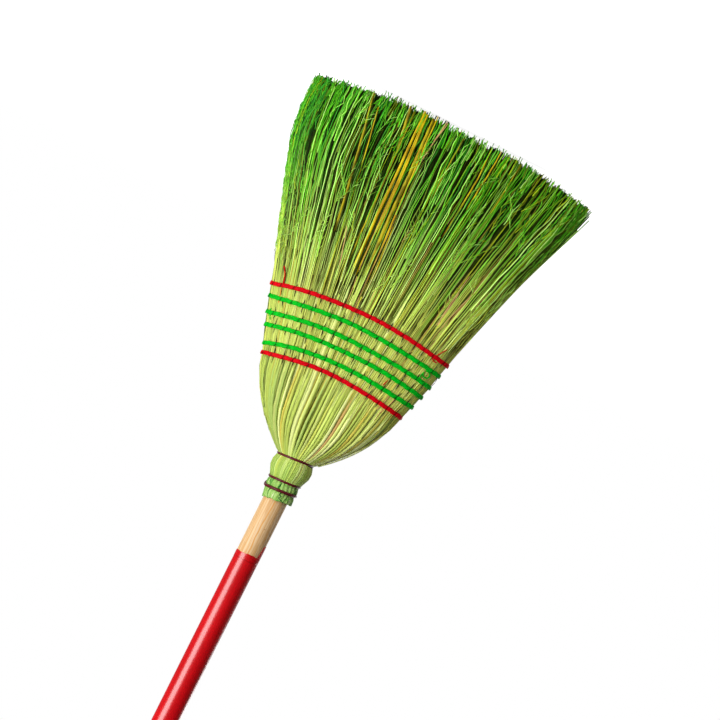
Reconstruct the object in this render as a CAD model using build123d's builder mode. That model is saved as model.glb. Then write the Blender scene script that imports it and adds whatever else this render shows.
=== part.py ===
"""A sewn corn broom: wooden handle in a thin sleeve, wired neck, shouldered head with six sewn rows.

Z is up along the handle, 0 at the sweeping edge; X runs across the head; the front face looks to -Y.
"""
import os
from math import asin, cos, pi, radians, sin, sqrt, tan

from build123d import *

# Handle
HANDLE_DIAMETER = 25.0
HANDLE_LENGTH = 1067.0
HANDLE_INSERT = 65.0  # from the end of the neck wrap down into the head
HANDLE_POINT_DIAMETER = 19.0
HANDLE_TAPER_LENGTH = 44.0
HANDLE_CROWN = 8.0
SLEEVE_THICKNESS = 0.4
BARE_WOOD = 61.0  # from the end of the neck wrap up to the sleeve

# Heights in the head, from the sweeping edge
HEAD_LENGTH = 416.0
NECK_LENGTH = 44.5  # from the end of the neck wrap down to the throat
THROAT_HEIGHT = HEAD_LENGTH - NECK_LENGTH
BELT_TOP = 296.0
ROOT_HEIGHT = 203.0  # below this the corn is loose straws
ROW_HEIGHTS = (279.0, 267.0, 252.5, 240.0, 225.0, 210.5)
ROW_NAMES = (
    "red_stitch_row_shoulder",
    "green_stitch_row_a",
    "green_stitch_row_b",
    "green_stitch_row_c",
    "green_stitch_row_d",
    "red_stitch_row_tips",
)

# Neck: wrap, bulb and throat
WRAP_LENGTH = 21.5
WRAP_RADIUS = 16.3
WRAP_FLARE = 0.8
WRAP_TRIM_TILT = 7.0
BUTT_THICKNESS = 1.9  # corn between the handle and the wrap
BUTT_SETBACK = 3.0  # how far the butts stop short of the end of the wrap
BULB_RADIUS = 21.6
THROAT_RADIUS = 19.0

# Half widths and half depths of the head
BELT_TOP_WIDTH = 74.6
BELT_TOP_DEPTH = 24.0
ROOT_WIDTH = 102.5
ROOT_DEPTH = 23.0
TIP_WIDTH = 155.0
TIP_DEPTH = 26.5
SHOULDER_FLARE = 0.3
SHOULDER_ROUNDING = 2.25
SHOULDER_SWELL = 5.0
SHOULDER_STATIONS = 6
COVER_THICKNESS = 9.0
SHOULDER_THICKNESS = 28.0
OVAL_END_ANGLE = 75.0
END_FACETS = 6
FACE_FACETS = 8
BULB_STATIONS = 4

# Loose straws
CORE_COLUMNS = 36
SHOULDER_COLUMNS = 6
STRAW_ROW_PITCH = 5.0
STRAW_FILL = 0.74
TIP_SAGITTA = 15.0
FLAT_CUT = 0.5
UNEVEN_TRIM = 3.0
STRAW_EDGE = 1.0  # bare rim of the root plane beyond the last column

# Sewn rows
TWINE_WIDTH = 4.0
TWINE_THICKNESS = 2.2
ROW_BOW = 11.5
STITCH_PITCH = 13.0
STITCH_THREAD = 1.6
NOTCH_WIDTH = 2.4
NOTCH_DEPTH = 0.9
NOTCH_SLANT = 25.0

# Wire
BINDING_WIRE = 1.8
BINDING_TURNS = 1
ANCHOR_WIRE = 1.2
ANCHOR_TURNS = 2
WIRE_GAP = 0.5  # between one turn and the next
WIRE_CLEARANCE = 0.02
WIRE_SIDES = 6
LOWER_BINDING_DROP = 10.0  # this and the next two from the end of the neck wrap
UPPER_BINDING_DROP = 19.0
ANCHOR_DROP = 33.0

# Nails
NAIL_DIAMETER = 1.4
NAIL_LENGTH = 13.0
NAIL_HEAD_DIAMETER = 3.6
NAIL_HEAD_THICKNESS = 0.7

handle_radius = HANDLE_DIAMETER / 2
handle_bottom = HEAD_LENGTH - HANDLE_INSERT
handle_top = handle_bottom + HANDLE_LENGTH
wrap_bottom = HEAD_LENGTH - WRAP_LENGTH
butt_radius = handle_radius + BUTT_THICKNESS
throat_layer = THROAT_RADIUS - butt_radius
core_root_width = ROOT_WIDTH - SHOULDER_THICKNESS
core_root_depth = ROOT_DEPTH - COVER_THICKNESS
binding_width = BINDING_TURNS * (BINDING_WIRE + WIRE_GAP) + BINDING_WIRE
anchor_width = ANCHOR_TURNS * (ANCHOR_WIRE + WIRE_GAP) + ANCHOR_WIRE
lower_binding_height = HEAD_LENGTH - LOWER_BINDING_DROP
upper_binding_height = HEAD_LENGTH - UPPER_BINDING_DROP
anchor_height = HEAD_LENGTH - ANCHOR_DROP
shoulder_shares = [(station / SHOULDER_STATIONS) ** 1.3 for station in range(SHOULDER_STATIONS + 1)]
os.makedirs("parts", exist_ok=True)


def oval_radii(half_width, half_depth):
    """End and face radius of a four-arc oval whose end arcs span the oval end angle both ways."""
    slack = tan(radians(45 - OVAL_END_ANGLE / 2))
    end_radius = (half_depth - half_width * slack) / (1 - slack)
    face_radius = end_radius + (half_width - end_radius) / cos(radians(OVAL_END_ANGLE))
    return end_radius, face_radius


def oval(half_width, half_depth):
    """Corners of an oval on four tangent arcs: two round ends and two shallow faces.

    Its sides lie at the same angles whatever the size, so that ovals stack up with flat facets.
    """
    end_radius, face_radius = oval_radii(half_width, half_depth)
    end_x = half_width - end_radius
    face_y = face_radius - half_depth
    quarter = []
    for facet in range(END_FACETS // 2):
        angle = radians(OVAL_END_ANGLE * 2 * facet / END_FACETS)
        quarter.append((end_x + end_radius * cos(angle), end_radius * sin(angle)))
    for facet in range(FACE_FACETS // 2):
        angle = radians(OVAL_END_ANGLE + (90 - OVAL_END_ANGLE) * 2 * facet / FACE_FACETS)
        quarter.append((face_radius * cos(angle), face_radius * sin(angle) - face_y))
    half = quarter + [(0, half_depth)] + [(-x, y) for x, y in quarter[:0:-1]]
    return half + [(-x, -y) for x, y in half]


def oval_depth(half_width, half_depth, x):
    """Half depth of the faceted oval at a distance x from its middle."""
    quarter = oval(half_width, half_depth)[: (END_FACETS + FACE_FACETS) // 2 + 1]
    for (far, low), (near, high) in zip(quarter, quarter[1:]):
        if near <= abs(x) <= far:
            return low + (high - low) * (far - abs(x)) / (far - near)
    return 0.0


def stack(levels):
    """Solid with flat facets through level rings of corners, each given as height and corners."""
    rings = [[(x, y, height) for x, y in ring] for height, ring in levels]
    facets = [rings[0], rings[-1]]
    for low, high in zip(rings, rings[1:]):
        facets += [(low[i - 1], low[i], high[i], high[i - 1]) for i in range(len(low))]
    return Solid(Shell([Face(Wire.make_polygon(facet)) for facet in facets]))


def shoulder_size(share):
    """Half width and depth between the throat, share 0, and the top of the belt, share 1."""
    flare = SHOULDER_FLARE * (THROAT_HEIGHT - BELT_TOP)
    rounding = BELT_TOP_WIDTH - THROAT_RADIUS - flare
    half_width = THROAT_RADIUS + flare * share + rounding * (1 - (1 - share) ** SHOULDER_ROUNDING)
    half_depth = THROAT_RADIUS + (BELT_TOP_DEPTH - THROAT_RADIUS) * share
    return half_width, half_depth + SHOULDER_SWELL * sin(pi * share)


def belt_size(height):
    """Half width and depth of the belt, straight from its top to the root plane."""
    share = (BELT_TOP - height) / (BELT_TOP - ROOT_HEIGHT)
    half_width = BELT_TOP_WIDTH + (ROOT_WIDTH - BELT_TOP_WIDTH) * share
    return half_width, BELT_TOP_DEPTH + (ROOT_DEPTH - BELT_TOP_DEPTH) * share


def row_height(row, x):
    """Height of a sewn row at x: an arc that rises towards the edges of the head."""
    radius = row_radius(row)
    return row + radius - sqrt(radius**2 - x**2)


def row_radius(row):
    """Radius of a sewn row's arc, from its rise over the half width of the head."""
    half_width = belt_size(row)[0]
    return (half_width**2 + ROW_BOW**2) / (2 * ROW_BOW)


def stitch_places(row):
    """X of each stitch along a row, evenly over the part that isn't the round edge."""
    half_width, half_depth = belt_size(row)
    reach = half_width - oval_radii(half_width, half_depth)[0]
    count = max(3, round(2 * reach / STITCH_PITCH) + 1)
    return [reach * (2 * index / (count - 1) - 1) for index in range(count)]


def thread(row, x):
    """One square thread through the head at x, from the middle of the twine on one face to the other."""
    height = row_height(row, x)
    depth = oval_depth(*belt_size(height), x) + TWINE_THICKNESS / 2
    return Pos(x, 0, height) * Box(STITCH_THREAD, 2 * depth, STITCH_THREAD)


def notch(row, x, side):
    """Wedge that nips the twine at a stitch: a three-sided bar laid aslant across the band."""
    height = row_height(row, x)
    half_width, half_depth = belt_size(height)
    depth = oval_depth(half_width + TWINE_THICKNESS, half_depth + TWINE_THICKNESS, x)
    lean = asin(x / oval_radii(half_width, half_depth)[1])
    outward = Vector(sin(lean), side * cos(lean), 0)
    sideways = Vector(cos(lean), -side * sin(lean), 0)
    across = (Vector(0, 0, 1) + sideways * tan(radians(NOTCH_SLANT))).normalized()
    seat = Plane(Vector(x, side * depth, height) - across * TWINE_WIDTH, x_dir=outward, z_dir=across)
    corners = ((-NOTCH_DEPTH, 0), (NOTCH_DEPTH, NOTCH_WIDTH), (NOTCH_DEPTH, -NOTCH_WIDTH))
    return extrude(seat * Polygon(*corners, align=None), 2 * TWINE_WIDTH)


def band(row):
    """Flat band of twine round the head: four lines of corners on the belt's edges, facet by facet."""
    lines = []
    for index, (x, _) in enumerate(oval(*belt_size(row))):
        low = row_height(row, x) - TWINE_WIDTH / 2
        high = low + TWINE_WIDTH
        line = []
        for height, growth in ((low, 0), (low, TWINE_THICKNESS), (high, TWINE_THICKNESS), (high, 0)):
            half_width, half_depth = belt_size(height)
            line.append((*oval(half_width + growth, half_depth + growth)[index], height))
        lines.append(line)
    facets = []
    for first, last in zip(lines, lines[1:] + lines[:1]):
        facets.append((first[1], last[1], last[2], first[2]))
        facets.append((first[3], last[3], last[0], first[0]))
        for edge in (0, 2):
            facets.append((first[edge], last[edge], last[edge + 1]))
            facets.append((first[edge], last[edge + 1], first[edge + 1]))
    return Solid(Shell([Face(Wire.make_polygon(facet)) for facet in facets]))


def winding(seat_radius, middle, turns, diameter):
    """Path of a wire wound on a round seat: half-turn biarcs on a helix about Z, with straight ends."""
    radius = seat_radius + diameter / 2 + WIRE_CLEARANCE
    pitch = diameter + WIRE_GAP
    slope = Vector(0, 0, pitch / (2 * pi * radius))
    ends = []
    for half_turn in range(2 * turns + 1):
        angle = pi / 2 + half_turn * pi
        height = middle + (half_turn - turns) * pitch / 2
        along = (Vector(-sin(angle), cos(angle), 0) + slope).normalized()
        ends.append((Vector(radius * cos(angle), radius * sin(angle), height), along))
    with BuildLine() as path:
        Line(ends[0][0] - ends[0][1] * diameter, ends[0][0])
        for (first, first_along), (last, last_along) in zip(ends, ends[1:]):
            span = last - first
            both = first_along + last_along
            spread = 2 * (1 - first_along.dot(last_along))
            reach = (sqrt(span.dot(both) ** 2 + spread * span.dot(span)) - span.dot(both)) / spread
            first_corner = first + first_along * reach
            last_corner = last - last_along * reach
            joint = (first_corner + last_corner) * 0.5
            TangentArc(first, joint, tangent=first_along)
            TangentArc(joint, last, tangent=last_corner - first_corner)
        Line(ends[-1][0], ends[-1][0] + ends[-1][1] * diameter)
    steps = 48 * turns
    points = [path.wire().position_at(step / steps) for step in range(steps + 1)]
    pairs = ((i, j) for i in range(steps + 1) for j in range(i + 24, steps + 1))
    gap = min((points[i] - points[j]).length for i, j in pairs) - diameter
    print(f"winding of {turns} turns: least gap {gap:.2f} mm")
    return path.wire()


# Handle: a turned stick with a tapered point below and a rounded crown on top.
with BuildPart() as handle:
    with BuildSketch(Plane.XZ):
        with BuildLine():
            Polyline(
                (0, handle_top),
                (0, handle_bottom),
                (HANDLE_POINT_DIAMETER / 2, handle_bottom),
                (handle_radius, handle_bottom + HANDLE_TAPER_LENGTH),
                (handle_radius, handle_top - HANDLE_CROWN),
            )
            crown_start = (handle_radius, handle_top - HANDLE_CROWN)
            crown_end = (handle_radius - HANDLE_CROWN, handle_top)
            RadiusArc(crown_start, crown_end, -HANDLE_CROWN)
            Line(crown_end, (0, handle_top))
        make_face()
    revolve(axis=Axis.Z)
stick = handle.part

# Sleeve: a skin of even thickness from the bare wood over the crown.
with BuildPart() as handle_sleeve:
    with BuildSketch(Plane.XZ):
        with BuildLine():
            outer = handle_radius + SLEEVE_THICKNESS
            peak = handle_top + SLEEVE_THICKNESS
            shelf = handle_top - HANDLE_CROWN
            Polyline((0, peak), (0, shelf), (0, HEAD_LENGTH + BARE_WOOD), (outer, HEAD_LENGTH + BARE_WOOD))
            Line((outer, HEAD_LENGTH + BARE_WOOD), (outer, shelf))
            skin_end = (handle_radius - HANDLE_CROWN, peak)
            RadiusArc((outer, shelf), skin_end, -(HANDLE_CROWN + SLEEVE_THICKNESS))
            Line(skin_end, (0, peak))
        make_face()
    revolve(axis=Axis.Z)
    add(stick, mode=Mode.SUBTRACT)

# Outer shape of the corn, from the wrap over bulb, throat and shoulders to the root plane.
corn_levels = []
for station in range(BULB_STATIONS):
    share = station / BULB_STATIONS
    bulge = (BULB_RADIUS - (WRAP_RADIUS + THROAT_RADIUS) / 2) * sin(pi * share)
    radius = WRAP_RADIUS + (THROAT_RADIUS - WRAP_RADIUS) * share + bulge
    corn_levels.append((wrap_bottom + (THROAT_HEIGHT - wrap_bottom) * share, oval(radius, radius)))
for share in shoulder_shares:
    height = THROAT_HEIGHT + (BELT_TOP - THROAT_HEIGHT) * share
    corn_levels.append((height, oval(*shoulder_size(share))))
corn_levels.append((ROOT_HEIGHT, oval(ROOT_WIDTH, ROOT_DEPTH)))
corn_shape = stack(corn_levels)

# Shape of the inner bundle, a layer's thickness inside the outer one all the way down.
core_levels = [(wrap_bottom, oval(butt_radius, butt_radius))]
for share in shoulder_shares:
    height = THROAT_HEIGHT + (BELT_TOP - THROAT_HEIGHT) * share
    half_width, half_depth = shoulder_size(share)
    side = throat_layer + (SHOULDER_THICKNESS - throat_layer) * share
    cover = throat_layer + (COVER_THICKNESS - throat_layer) * share
    core_levels.append((height, oval(half_width - side, half_depth - cover)))
core_levels.append((ROOT_HEIGHT, oval(core_root_width, core_root_depth)))
core_shape = stack(core_levels)

# Nails, driven in at the back above each binding so that the head holds the wire's end.
nail_seats = (
    (WRAP_RADIUS, lower_binding_height),
    (WRAP_RADIUS, upper_binding_height),
    (THROAT_RADIUS, THROAT_HEIGHT),
)
with BuildPart() as binding_nails:
    for seat_radius, seat_height in nail_seats:
        nail_height = seat_height + binding_width / 2 + NAIL_DIAMETER / 2 + WIRE_CLEARANCE
        head_seat = seat_radius + BINDING_WIRE + 2 * WIRE_CLEARANCE
        with BuildSketch(Plane((0, head_seat, nail_height), x_dir=(1, 0, 0), z_dir=(0, 1, 0))):
            Circle(NAIL_HEAD_DIAMETER / 2)
        extrude(amount=NAIL_HEAD_THICKNESS)
        with BuildSketch(Plane((0, head_seat, nail_height), x_dir=(1, 0, 0), z_dir=(0, 1, 0))):
            Circle(NAIL_DIAMETER / 2)
        extrude(amount=-NAIL_LENGTH)
nails = binding_nails.part

# Threads of the sewn rows, straight through the head under every third stitch, row by row.
threads = {row: [thread(row, x) for x in stitch_places(row)[::3]] for row in ROW_HEIGHTS}
all_threads = sum(threads.values(), [])

# Outer corn: the shell between the two shapes, with the throat groove and a pocket for the anchor wire.
with BuildPart() as outer_corn:
    add(corn_shape)
    add(core_shape, mode=Mode.SUBTRACT)
    with BuildSketch(Plane.XY.offset(THROAT_HEIGHT - binding_width / 2 - WIRE_CLEARANCE)):
        Circle(2 * BULB_RADIUS)
        Circle(THROAT_RADIUS, mode=Mode.SUBTRACT)
    extrude(amount=binding_width + 2 * WIRE_CLEARANCE, mode=Mode.SUBTRACT)
    with BuildSketch(Plane.XY.offset(anchor_height - anchor_width / 2 - WIRE_CLEARANCE)):
        Circle(butt_radius + ANCHOR_WIRE + 4 * WIRE_CLEARANCE)
    extrude(amount=anchor_width + 2 * WIRE_CLEARANCE, mode=Mode.SUBTRACT)
shell = outer_corn.part


def rectangle(x, y, width, depth):
    """Corners of a rectangle round a middle point."""
    return [(x + i * width / 2, y + j * depth / 2) for i, j in ((1, 1), (-1, 1), (-1, -1), (1, -1))]


def straw(x, y, width, depth, unevenness):
    """One loose straw: a four-sided spike that spreads from the root plane to the sweeping edge."""
    spread_x = TIP_WIDTH / (ROOT_WIDTH - STRAW_EDGE)
    spread_y = TIP_DEPTH / ROOT_DEPTH
    rise = TIP_SAGITTA * (x / ROOT_WIDTH) ** 2
    tip = max(rise - FLAT_CUT, 0.0) + UNEVEN_TRIM * unevenness
    root_ring = rectangle(x, y, width * STRAW_FILL, depth * STRAW_FILL)
    tip_ring = [(corner_x * spread_x, corner_y * spread_y) for corner_x, corner_y in root_ring]
    return stack([(ROOT_HEIGHT, root_ring), (tip, tip_ring)])


def straw_column(x, width, low, high):
    """Straws side by side from y low to y high in one column, trimmed a little unevenly."""
    count = round((high - low) / STRAW_ROW_PITCH)
    pitch = (high - low) / max(count, 1)
    column = round((x + ROOT_WIDTH) / width)
    straws = []
    for index in range(count):
        unevenness = (3 * column + 5 * index) % 4 / 3
        straws.append(straw(x, low + (index + 0.5) * pitch, width, pitch, unevenness))
    return straws


# Straws by bundle: columns over the inner bundle and the covers, then columns out to each edge.
core_straws = []
front_straws = []
back_straws = []
core_column = 2 * core_root_width / CORE_COLUMNS
for index in range(CORE_COLUMNS):
    x = core_column * (index + 0.5) - core_root_width
    near = abs(x) - core_column / 2
    far = abs(x) + core_column / 2
    outer_limit = oval_depth(ROOT_WIDTH, ROOT_DEPTH, far)
    inner_limit = oval_depth(core_root_width, core_root_depth, near)
    core_limit = oval_depth(core_root_width, core_root_depth, far)
    core_straws += straw_column(x, core_column, -core_limit, core_limit)
    front_straws += straw_column(x, core_column, -outer_limit, -inner_limit)
    back_straws += straw_column(x, core_column, inner_limit, outer_limit)
left_straws = []
right_straws = []
side_column = (SHOULDER_THICKNESS - STRAW_EDGE) / SHOULDER_COLUMNS
for index in range(SHOULDER_COLUMNS):
    x = core_root_width + side_column * (index + 0.5)
    limit = oval_depth(ROOT_WIDTH, ROOT_DEPTH, x + side_column / 2)
    left_straws += straw_column(x, side_column, -limit, limit)
    right_straws += straw_column(-x, side_column, -limit, limit)
print(sum(map(len, (core_straws, front_straws, back_straws, left_straws, right_straws))), "straws")

# Slanted planes between covers and shoulders, from the throat down to the sides of the inner bundle.
split_height = THROAT_HEIGHT - ROOT_HEIGHT
split_run = core_root_width - THROAT_RADIUS * cos(radians(45))
left_plane = Plane((core_root_width, 0, ROOT_HEIGHT), x_dir=(0, 1, 0), z_dir=(split_height, 0, split_run))
right_plane = Plane((-core_root_width, 0, ROOT_HEIGHT), x_dir=(0, 1, 0), z_dir=(-split_height, 0, split_run))

# Inner bundle: packed round the handle, with the butts that run up under the wrap.
with BuildPart() as inner_bundle:
    add(core_shape)
    with BuildSketch(Plane.XY.offset(wrap_bottom)):
        Circle(butt_radius)
    extrude(amount=WRAP_LENGTH - BUTT_SETBACK)
    add(stick, mode=Mode.SUBTRACT)
    add(nails, mode=Mode.SUBTRACT)
    add(all_threads, mode=Mode.SUBTRACT, clean=False)
    add(core_straws, clean=False)
inner_bundle.part.label = "inner_bundle"
export_step(inner_bundle.part, "parts/inner_bundle.step")

# Shoulder bundles: the outer corn beyond each slanted plane.
with BuildPart() as left_shoulder_bundle:
    add(shell)
    split(bisect_by=left_plane, keep=Keep.TOP)
    add(all_threads, mode=Mode.SUBTRACT, clean=False)
    add(left_straws, clean=False)
left_shoulder_bundle.part.label = "left_shoulder_bundle"
export_step(left_shoulder_bundle.part, "parts/left_shoulder_bundle.step")

with BuildPart() as right_shoulder_bundle:
    add(shell)
    split(bisect_by=right_plane, keep=Keep.TOP)
    add(all_threads, mode=Mode.SUBTRACT, clean=False)
    add(right_straws, clean=False)
right_shoulder_bundle.part.label = "right_shoulder_bundle"
export_step(right_shoulder_bundle.part, "parts/right_shoulder_bundle.step")

# Covers: the outer corn between the slanted planes, front and back.
with BuildPart() as front_cover:
    add(shell)
    split(bisect_by=left_plane, keep=Keep.BOTTOM)
    split(bisect_by=right_plane, keep=Keep.BOTTOM)
    split(bisect_by=Plane.XZ, keep=Keep.TOP)
    add(all_threads, mode=Mode.SUBTRACT, clean=False)
    add(front_straws, clean=False)
front_cover.part.label = "front_cover"
export_step(front_cover.part, "parts/front_cover.step")

with BuildPart() as back_cover:
    add(shell)
    split(bisect_by=left_plane, keep=Keep.BOTTOM)
    split(bisect_by=right_plane, keep=Keep.BOTTOM)
    split(bisect_by=Plane.XZ, keep=Keep.BOTTOM)
    add(nails, mode=Mode.SUBTRACT)
    add(all_threads, mode=Mode.SUBTRACT, clean=False)
    add(back_straws, clean=False)
back_cover.part.label = "back_cover"
export_step(back_cover.part, "parts/back_cover.step")

# Neck wrap: a sleeve of butts and leaf round the handle, flared and trimmed aslant at its end.
with BuildPart() as neck_wrap:
    with BuildSketch(Plane.XZ):
        with BuildLine():
            flare_start = lower_binding_height + binding_width / 2 + NAIL_HEAD_DIAMETER
            Polyline(
                (butt_radius, wrap_bottom),
                (WRAP_RADIUS, wrap_bottom),
                (WRAP_RADIUS, flare_start),
                (WRAP_RADIUS + WRAP_FLARE, HEAD_LENGTH),
                (WRAP_RADIUS + WRAP_FLARE, HEAD_LENGTH + BUTT_SETBACK),
                (butt_radius, HEAD_LENGTH + BUTT_SETBACK),
                close=True,
            )
        make_face()
    revolve(axis=Axis.Z)
    tilt = radians(WRAP_TRIM_TILT)
    trim = Plane((0, 0, HEAD_LENGTH), x_dir=(0, 1, 0), z_dir=(-sin(tilt), 0, cos(tilt)))
    split(bisect_by=trim, keep=Keep.BOTTOM)
    add(nails, mode=Mode.SUBTRACT)
neck_wrap.part.label = "neck_wrap"
export_step(neck_wrap.part, "parts/neck_wrap.step")

# Handle and sleeve, the handle with its nail holes.
with handle:
    add(nails, mode=Mode.SUBTRACT)
handle.part.label = "handle"
export_step(handle.part, "parts/handle.step")
handle_sleeve.part.label = "handle_sleeve"
export_step(handle_sleeve.part, "parts/handle_sleeve.step")
binding_nails.part.label = "binding_nails"
export_step(binding_nails.part, "parts/binding_nails.step")

# Wires: each one unbroken tube wound on the corn it holds.
windings = (
    ("anchor_wire", butt_radius, anchor_height, ANCHOR_TURNS, ANCHOR_WIRE),
    ("throat_binding", THROAT_RADIUS, THROAT_HEIGHT, BINDING_TURNS, BINDING_WIRE),
    ("upper_neck_binding", WRAP_RADIUS, upper_binding_height, BINDING_TURNS, BINDING_WIRE),
    ("lower_neck_binding", WRAP_RADIUS, lower_binding_height, BINDING_TURNS, BINDING_WIRE),
)
for name, seat_radius, middle, turns, diameter in windings:
    path = winding(seat_radius, middle, turns, diameter)
    with BuildPart() as wire:
        with BuildSketch(Plane(path @ 0, z_dir=path % 0)):
            RegularPolygon(diameter / 2, WIRE_SIDES)
        sweep(path=path)
    wire.part.label = name
    export_step(wire.part, f"parts/{name}.step")

# Sewn rows: a flat band of twine round the head on an arc, its threads, and a notch at each
# stitch on both faces.
for name, row in zip(ROW_NAMES, ROW_HEIGHTS):
    notches = [notch(row, x, side) for x in stitch_places(row) for side in (-1, 1)]
    with BuildPart() as stitch_row:
        add(band(row))
        add(threads[row], clean=False)
        add(notches, mode=Mode.SUBTRACT, clean=False)
    stitch_row.part.label = name
    export_step(stitch_row.part, f"parts/{name}.step")
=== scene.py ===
import bpy
import numpy as np
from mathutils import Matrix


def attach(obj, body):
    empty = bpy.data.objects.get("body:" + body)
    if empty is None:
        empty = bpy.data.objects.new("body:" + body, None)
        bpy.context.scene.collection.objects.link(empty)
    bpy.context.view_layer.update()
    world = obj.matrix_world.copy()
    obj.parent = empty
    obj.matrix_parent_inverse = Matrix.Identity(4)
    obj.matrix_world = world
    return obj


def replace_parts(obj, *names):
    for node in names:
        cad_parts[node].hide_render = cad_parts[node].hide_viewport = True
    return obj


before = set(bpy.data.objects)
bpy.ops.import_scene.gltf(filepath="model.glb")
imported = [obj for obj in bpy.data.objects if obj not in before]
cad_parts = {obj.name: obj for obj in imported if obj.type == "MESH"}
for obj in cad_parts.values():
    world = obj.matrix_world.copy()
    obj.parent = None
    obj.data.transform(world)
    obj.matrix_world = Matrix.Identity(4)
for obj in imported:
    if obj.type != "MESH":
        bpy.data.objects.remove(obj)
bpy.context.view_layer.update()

# Handle: a turned pine stick, bare for about 60 mm between the neck and its red skin.
# It is sawn along the grain, so the year rings show as long streaks, with one small knot and a line of resin.


class Tone:
    """A socket of a material: operators on it add Math nodes, and node() adds any other node."""

    def __init__(self, tree, socket=None):
        self.tree = tree
        self.socket = socket

    def node(self, kind, settings=None, sockets=None, output=0):
        """Adds a node, sets its settings first, then the values or links of its sockets."""
        made = self.tree.nodes.new("ShaderNode" + kind)
        for name, value in (settings or {}).items():
            if name == "stops":
                for _ in value[2:]:
                    made.color_ramp.elements.new(1.0)
                for element, (place, colour) in zip(made.color_ramp.elements, value):
                    element.position = place
                    element.color = colour
            elif name == "steps":
                made.color_ramp.interpolation = value
            else:
                setattr(made, name, value)
        for name, value in (sockets or {}).items():
            if isinstance(value, Tone):
                self.tree.links.new(value.socket, made.inputs[name])
            else:
                made.inputs[name].default_value = value
        return Tone(self.tree, made.outputs[output])

    def other(self, output):
        """Another output of the node that this socket belongs to."""
        return Tone(self.tree, self.socket.node.outputs[output])

    def reckon(self, operation, first, second=0.0):
        """Result of one Math node."""
        return self.node("Math", {"operation": operation}, {0: first, 1: second})

    def __add__(self, other):
        return self.reckon("ADD", self, other)

    def __sub__(self, other):
        return self.reckon("SUBTRACT", self, other)

    def __rsub__(self, other):
        return self.reckon("SUBTRACT", other, self)

    def __mul__(self, other):
        return self.reckon("MULTIPLY", self, other)

    def __abs__(self):
        return self.reckon("ABSOLUTE", self)

    __radd__ = __add__
    __rmul__ = __mul__

    def fraction(self):
        """This value less the whole number below it."""
        return self.reckon("FRACT", self)

    def chance(self):
        """Random value from 0 to 1, one for each whole number."""
        whole = self.reckon("FLOOR", self)
        return self.node("TexWhiteNoise", {"noise_dimensions": "1D"}, {"W": whole}, "Value")

    def rise(self, low, high):
        """Smooth step of this value from 0 at low to 1 at high."""
        sockets = {"Value": self, "From Min": low, "From Max": high}
        return self.node("MapRange", {"interpolation_type": "SMOOTHSTEP"}, sockets)

    def axis(self, number):
        """X, Y or Z of this place, as 0, 1 or 2."""
        return self.node("SeparateXYZ", None, {0: self}, number)

    def stretch(self, *scale, **more):
        """This place with its axes scaled, which draws a pattern out along the small ones."""
        return self.node("Mapping", None, {"Vector": self, "Scale": scale, **more})

    def noise(self, scale=1.0, detail=2.0, **more):
        """Noise at this place."""
        return self.node("TexNoise", None, {"Vector": self, "Scale": scale, "Detail": detail, **more})

    def choose(self, first, second):
        """Colour mix of two colours, with this value as its factor."""
        return self.node("Mix", {"data_type": "RGBA"}, {0: self, 6: first, 7: second}, 2)

    def times(self, other):
        """This colour multiplied by another, or by a grey value."""
        settings = {"data_type": "RGBA", "blend_type": "MULTIPLY"}
        return self.node("Mix", settings, {0: 1.0, 6: self, 7: other}, 2)

    def feed(self, shader, name):
        """Links this socket into one of a shader's."""
        self.tree.links.new(self.socket, shader.inputs[name])


def hue(red, green, blue):
    """Linear colour with alpha of a screen colour in 0 to 255."""
    screen = np.array((red, green, blue)) / 255
    linear = np.where(screen > 0.04045, ((screen + 0.055) / 1.055) ** 2.4, screen / 12.92)
    return (*linear.tolist(), 1.0)


def finish(name, **fixed):
    """New material with its shader's fixed sockets set; gives it, its shader and its Object coordinates."""
    material = bpy.data.materials.new(name)
    material.use_nodes = True
    shader = material.node_tree.nodes["Principled BSDF"]
    for socket, value in fixed.items():
        shader.inputs[socket.replace("_", " ")].default_value = value
    return material, shader, Tone(material.node_tree).node("TexCoord", output="Object")


def bumped(place, height, distance, shader):
    """Bump into the shader's normal: a height from about 0 to 1, times a distance in metres."""
    place.node("Bump", None, {"Height": height, "Distance": distance}).feed(shader, "Normal")


pine, shader, place = finish("pine", Specular_IOR_Level=0.45)
lengthways = place.stretch(1.0, 1.0, 0.03)
bend = place.noise(38.0, 1.0)
front = 1.0 - place.axis(1).rise(-0.009, -0.006)
seam = abs(place.axis(0) + bend * 0.006 - 0.0037)
knot = place.node("VectorMath", {"operation": "DISTANCE"}, {0: place, 1: (-0.0037, -0.0119, 0.4467)}, "Value")
rings = lengthways.noise(330.0, 3.0, Distortion=0.5)
fibre = lengthways.noise(2300.0)
streak = rings.node("ValToRGB", {"stops": (
    (0.30, hue(238, 206, 162)), (0.46, hue(230, 190, 138)), (0.55, hue(216, 164, 100)),
    (0.62, hue(232, 194, 144)), (0.76, hue(240, 212, 174)))}, {"Fac": rings})
wood = (fibre.rise(0.4, 0.8) * 0.3).choose(streak, hue(200, 148, 90))
wood = ((1.0 - seam.rise(0.0002, 0.0009)) * front * 0.85).choose(wood, hue(222, 148, 46))
wood = ((1.0 - knot.rise(0.0003, 0.0009)) * 0.6).choose(wood, hue(160, 94, 42))
wood.feed(shader, "Base Color")
(fibre * 0.18 + 0.50).feed(shader, "Roughness")
bumped(place, fibre * 0.6 + rings * 0.4, 0.00010, shader)
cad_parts["handle"].material_slots[0].material = pine

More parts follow.
